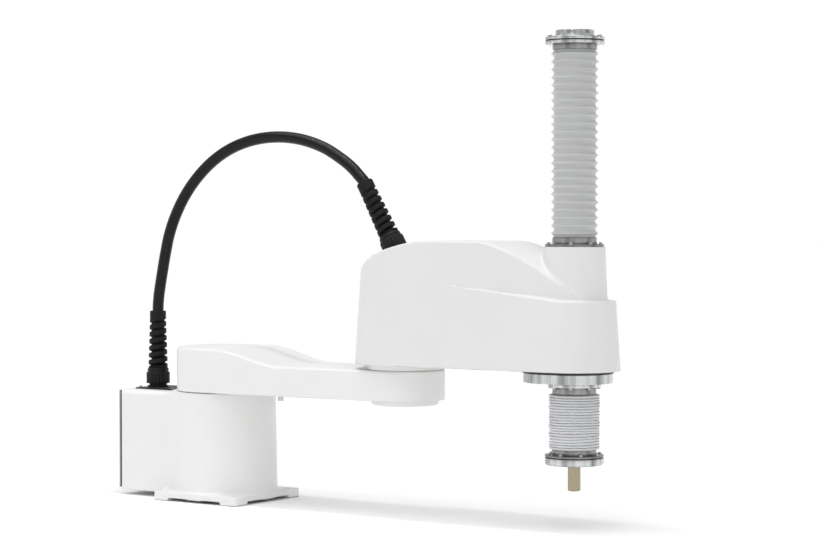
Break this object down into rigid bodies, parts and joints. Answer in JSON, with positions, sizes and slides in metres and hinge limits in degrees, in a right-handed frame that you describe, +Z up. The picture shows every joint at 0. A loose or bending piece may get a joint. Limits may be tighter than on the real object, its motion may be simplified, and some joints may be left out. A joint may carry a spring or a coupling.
{
  "type": "SCARA robot arm",
  "caption": "Tabletop SCARA robot arm: two jointed arms on a fixed base, a sealed vertical quill in bellows with a turning shaft, and an arched cable conduit.",
  "frame": {"origin": "on the mounting face under the J1 axis, at the centre of the four mounting bolts", "axes": "+Z up along the J1 axis; +X along both arms at rest, away from the rear cabinet"},
  "size_m": [0.9027, 0.17, 0.726],
  "materials": {
    "casting_white": "semi-gloss white paint on cast aluminium",
    "panel_white": "semi-gloss white paint on moulded cover",
    "frame_grey": "machined casting",
    "black_plastic": "moulded",
    "gland_plate_black": "powder coat",
    "conduit_black": "satin sheath",
    "gasket_black": "matt",
    "belt_black": "matt",
    "motor_black": "satin",
    "drive_steel": "ground",
    "pulley_alloy": "machined",
    "polished_steel": "turned and polished",
    "collar_grey": "bead blasted",
    "bellows_film": "moulded translucent elastomer",
    "screw_steel": "plain",
    "shaft_steel": "hardened and oiled"
  },
  "bodies": {
    "base": {"base_casting": "casting_white", "rear_panel": "panel_white", "rear_panel_screws": "screw_steel", "rear_connectors": "black_plastic", "gland_plate": "gland_plate_black", "gland_plate_screws": "screw_steel", "base_gland": "black_plastic", "base_strain_relief": "black_plastic", "umbilical": "conduit_black", "j1_motor": "motor_black", "j1_reducer": "drive_steel"},
    "j1_input": {"j1_wave_generator": "drive_steel"},
    "arm1": {"arm1_casting": "casting_white", "j1_output_flange": "drive_steel", "stop_pin": "screw_steel", "j2_bottom_cap": "casting_white", "j2_output_flange": "drive_steel"},
    "arm2": {"arm2_frame": "frame_grey", "arm2_cover": "panel_white", "cover_screws": "screw_steel", "arm2_gland": "black_plastic", "arm2_strain_relief": "black_plastic", "j2_motor": "motor_black", "j2_reducer": "drive_steel", "j3_motor": "motor_black", "j4_motor": "motor_black", "ball_nut_bearing": "drive_steel", "spline_nut_bearing": "drive_steel", "j3_belt": "belt_black", "j4_belt": "belt_black", "upper_flange": "polished_steel", "upper_flange_screws": "screw_steel", "upper_collar": "collar_grey", "upper_bellows": "bellows_film", "quill_gasket": "gasket_black", "quill_plate": "polished_steel", "lower_flange": "polished_steel", "lower_flange_screws": "screw_steel", "lower_collar": "collar_grey", "lower_bellows": "bellows_film"},
    "j2_input": {"j2_wave_generator": "drive_steel"},
    "ball_nut_unit": {"ball_nut": "drive_steel", "ball_nut_pulley": "pulley_alloy"},
    "j3_motor_rotor": {"j3_motor_pulley": "pulley_alloy"},
    "spline_nut_unit": {"spline_nut": "drive_steel", "spline_nut_pulley": "pulley_alloy"},
    "j4_motor_rotor": {"j4_motor_pulley": "pulley_alloy"},
    "quill": {"top_cap": "polished_steel", "top_gasket": "gasket_black", "top_disc": "polished_steel", "top_cap_screws": "screw_steel", "top_collar": "collar_grey", "top_bearing": "drive_steel", "bottom_collar": "collar_grey", "bottom_ring": "collar_grey", "bottom_ring_screws": "screw_steel", "bottom_gasket": "gasket_black", "bottom_disc": "polished_steel", "bottom_bearing": "drive_steel"},
    "tool_shaft": {"quill_shaft": "shaft_steel"}
  },
  "joints": [
    {"name": "j1_turn", "type": "hinge", "parent": "base", "child": "arm1", "pos_m": [0, 0, 0], "axis": [0, 0, 1], "range_deg": [-138, 138], "deforming": ["umbilical"]},
    {"name": "j2_turn", "type": "hinge", "parent": "arm1", "child": "arm2", "pos_m": [0.35, 0, 0], "axis": [0, 0, 1], "range_deg": [-138, 138], "deforming": ["umbilical"]},
    {"name": "j3_slide", "type": "slide", "parent": "arm2", "child": "quill", "axis": [0, 0, 1], "range_m": [-0.19, 0], "deforming": ["upper_bellows", "lower_bellows"]},
    {"name": "j4_turn", "type": "hinge", "parent": "quill", "child": "tool_shaft", "pos_m": [0.65, 0, 0], "axis": [0, 0, 1], "range_deg": [-360, 360]},
    {"name": "j1_input_spin", "type": "hinge", "parent": "base", "child": "j1_input", "pos_m": [0, 0, 0], "axis": [0, 0, 1], "range_deg": [-11041, 11041]},
    {"name": "j2_input_spin", "type": "hinge", "parent": "arm2", "child": "j2_input", "pos_m": [0.35, 0, 0], "axis": [0, 0, 1], "range_deg": [-6901, 6901]},
    {"name": "ball_nut_spin", "type": "hinge", "parent": "arm2", "child": "ball_nut_unit", "pos_m": [0.65, 0, 0], "axis": [0, 0, 1], "range_deg": [-1, 3421]},
    {"name": "j3_motor_spin", "type": "hinge", "parent": "arm2", "child": "j3_motor_rotor", "pos_m": [0.525, 0, 0], "axis": [0, 0, 1], "range_deg": [-1, 6109]},
    {"name": "spline_nut_spin", "type": "hinge", "parent": "arm2", "child": "spline_nut_unit", "pos_m": [0.65, 0, 0], "axis": [0, 0, 1], "range_deg": [-361, 361]},
    {"name": "j4_motor_spin", "type": "hinge", "parent": "arm2", "child": "j4_motor_rotor", "pos_m": [0.45, 0, 0], "axis": [0, 0, 1], "range_deg": [-644, 644]}
  ],
  "couplings": [
    {"joint": "j1_input_spin", "follows": "j1_turn", "ratio": -80},
    {"joint": "j2_input_spin", "follows": "j2_turn", "ratio": 50},
    {"joint": "ball_nut_spin", "follows": "j3_slide", "rad_per_m": -314.16},
    {"joint": "j3_motor_spin", "follows": "j3_slide", "rad_per_m": -561},
    {"joint": "spline_nut_spin", "follows": "j4_turn", "ratio": 1},
    {"joint": "j4_motor_spin", "follows": "j4_turn", "ratio": 1.7857}
  ]
}
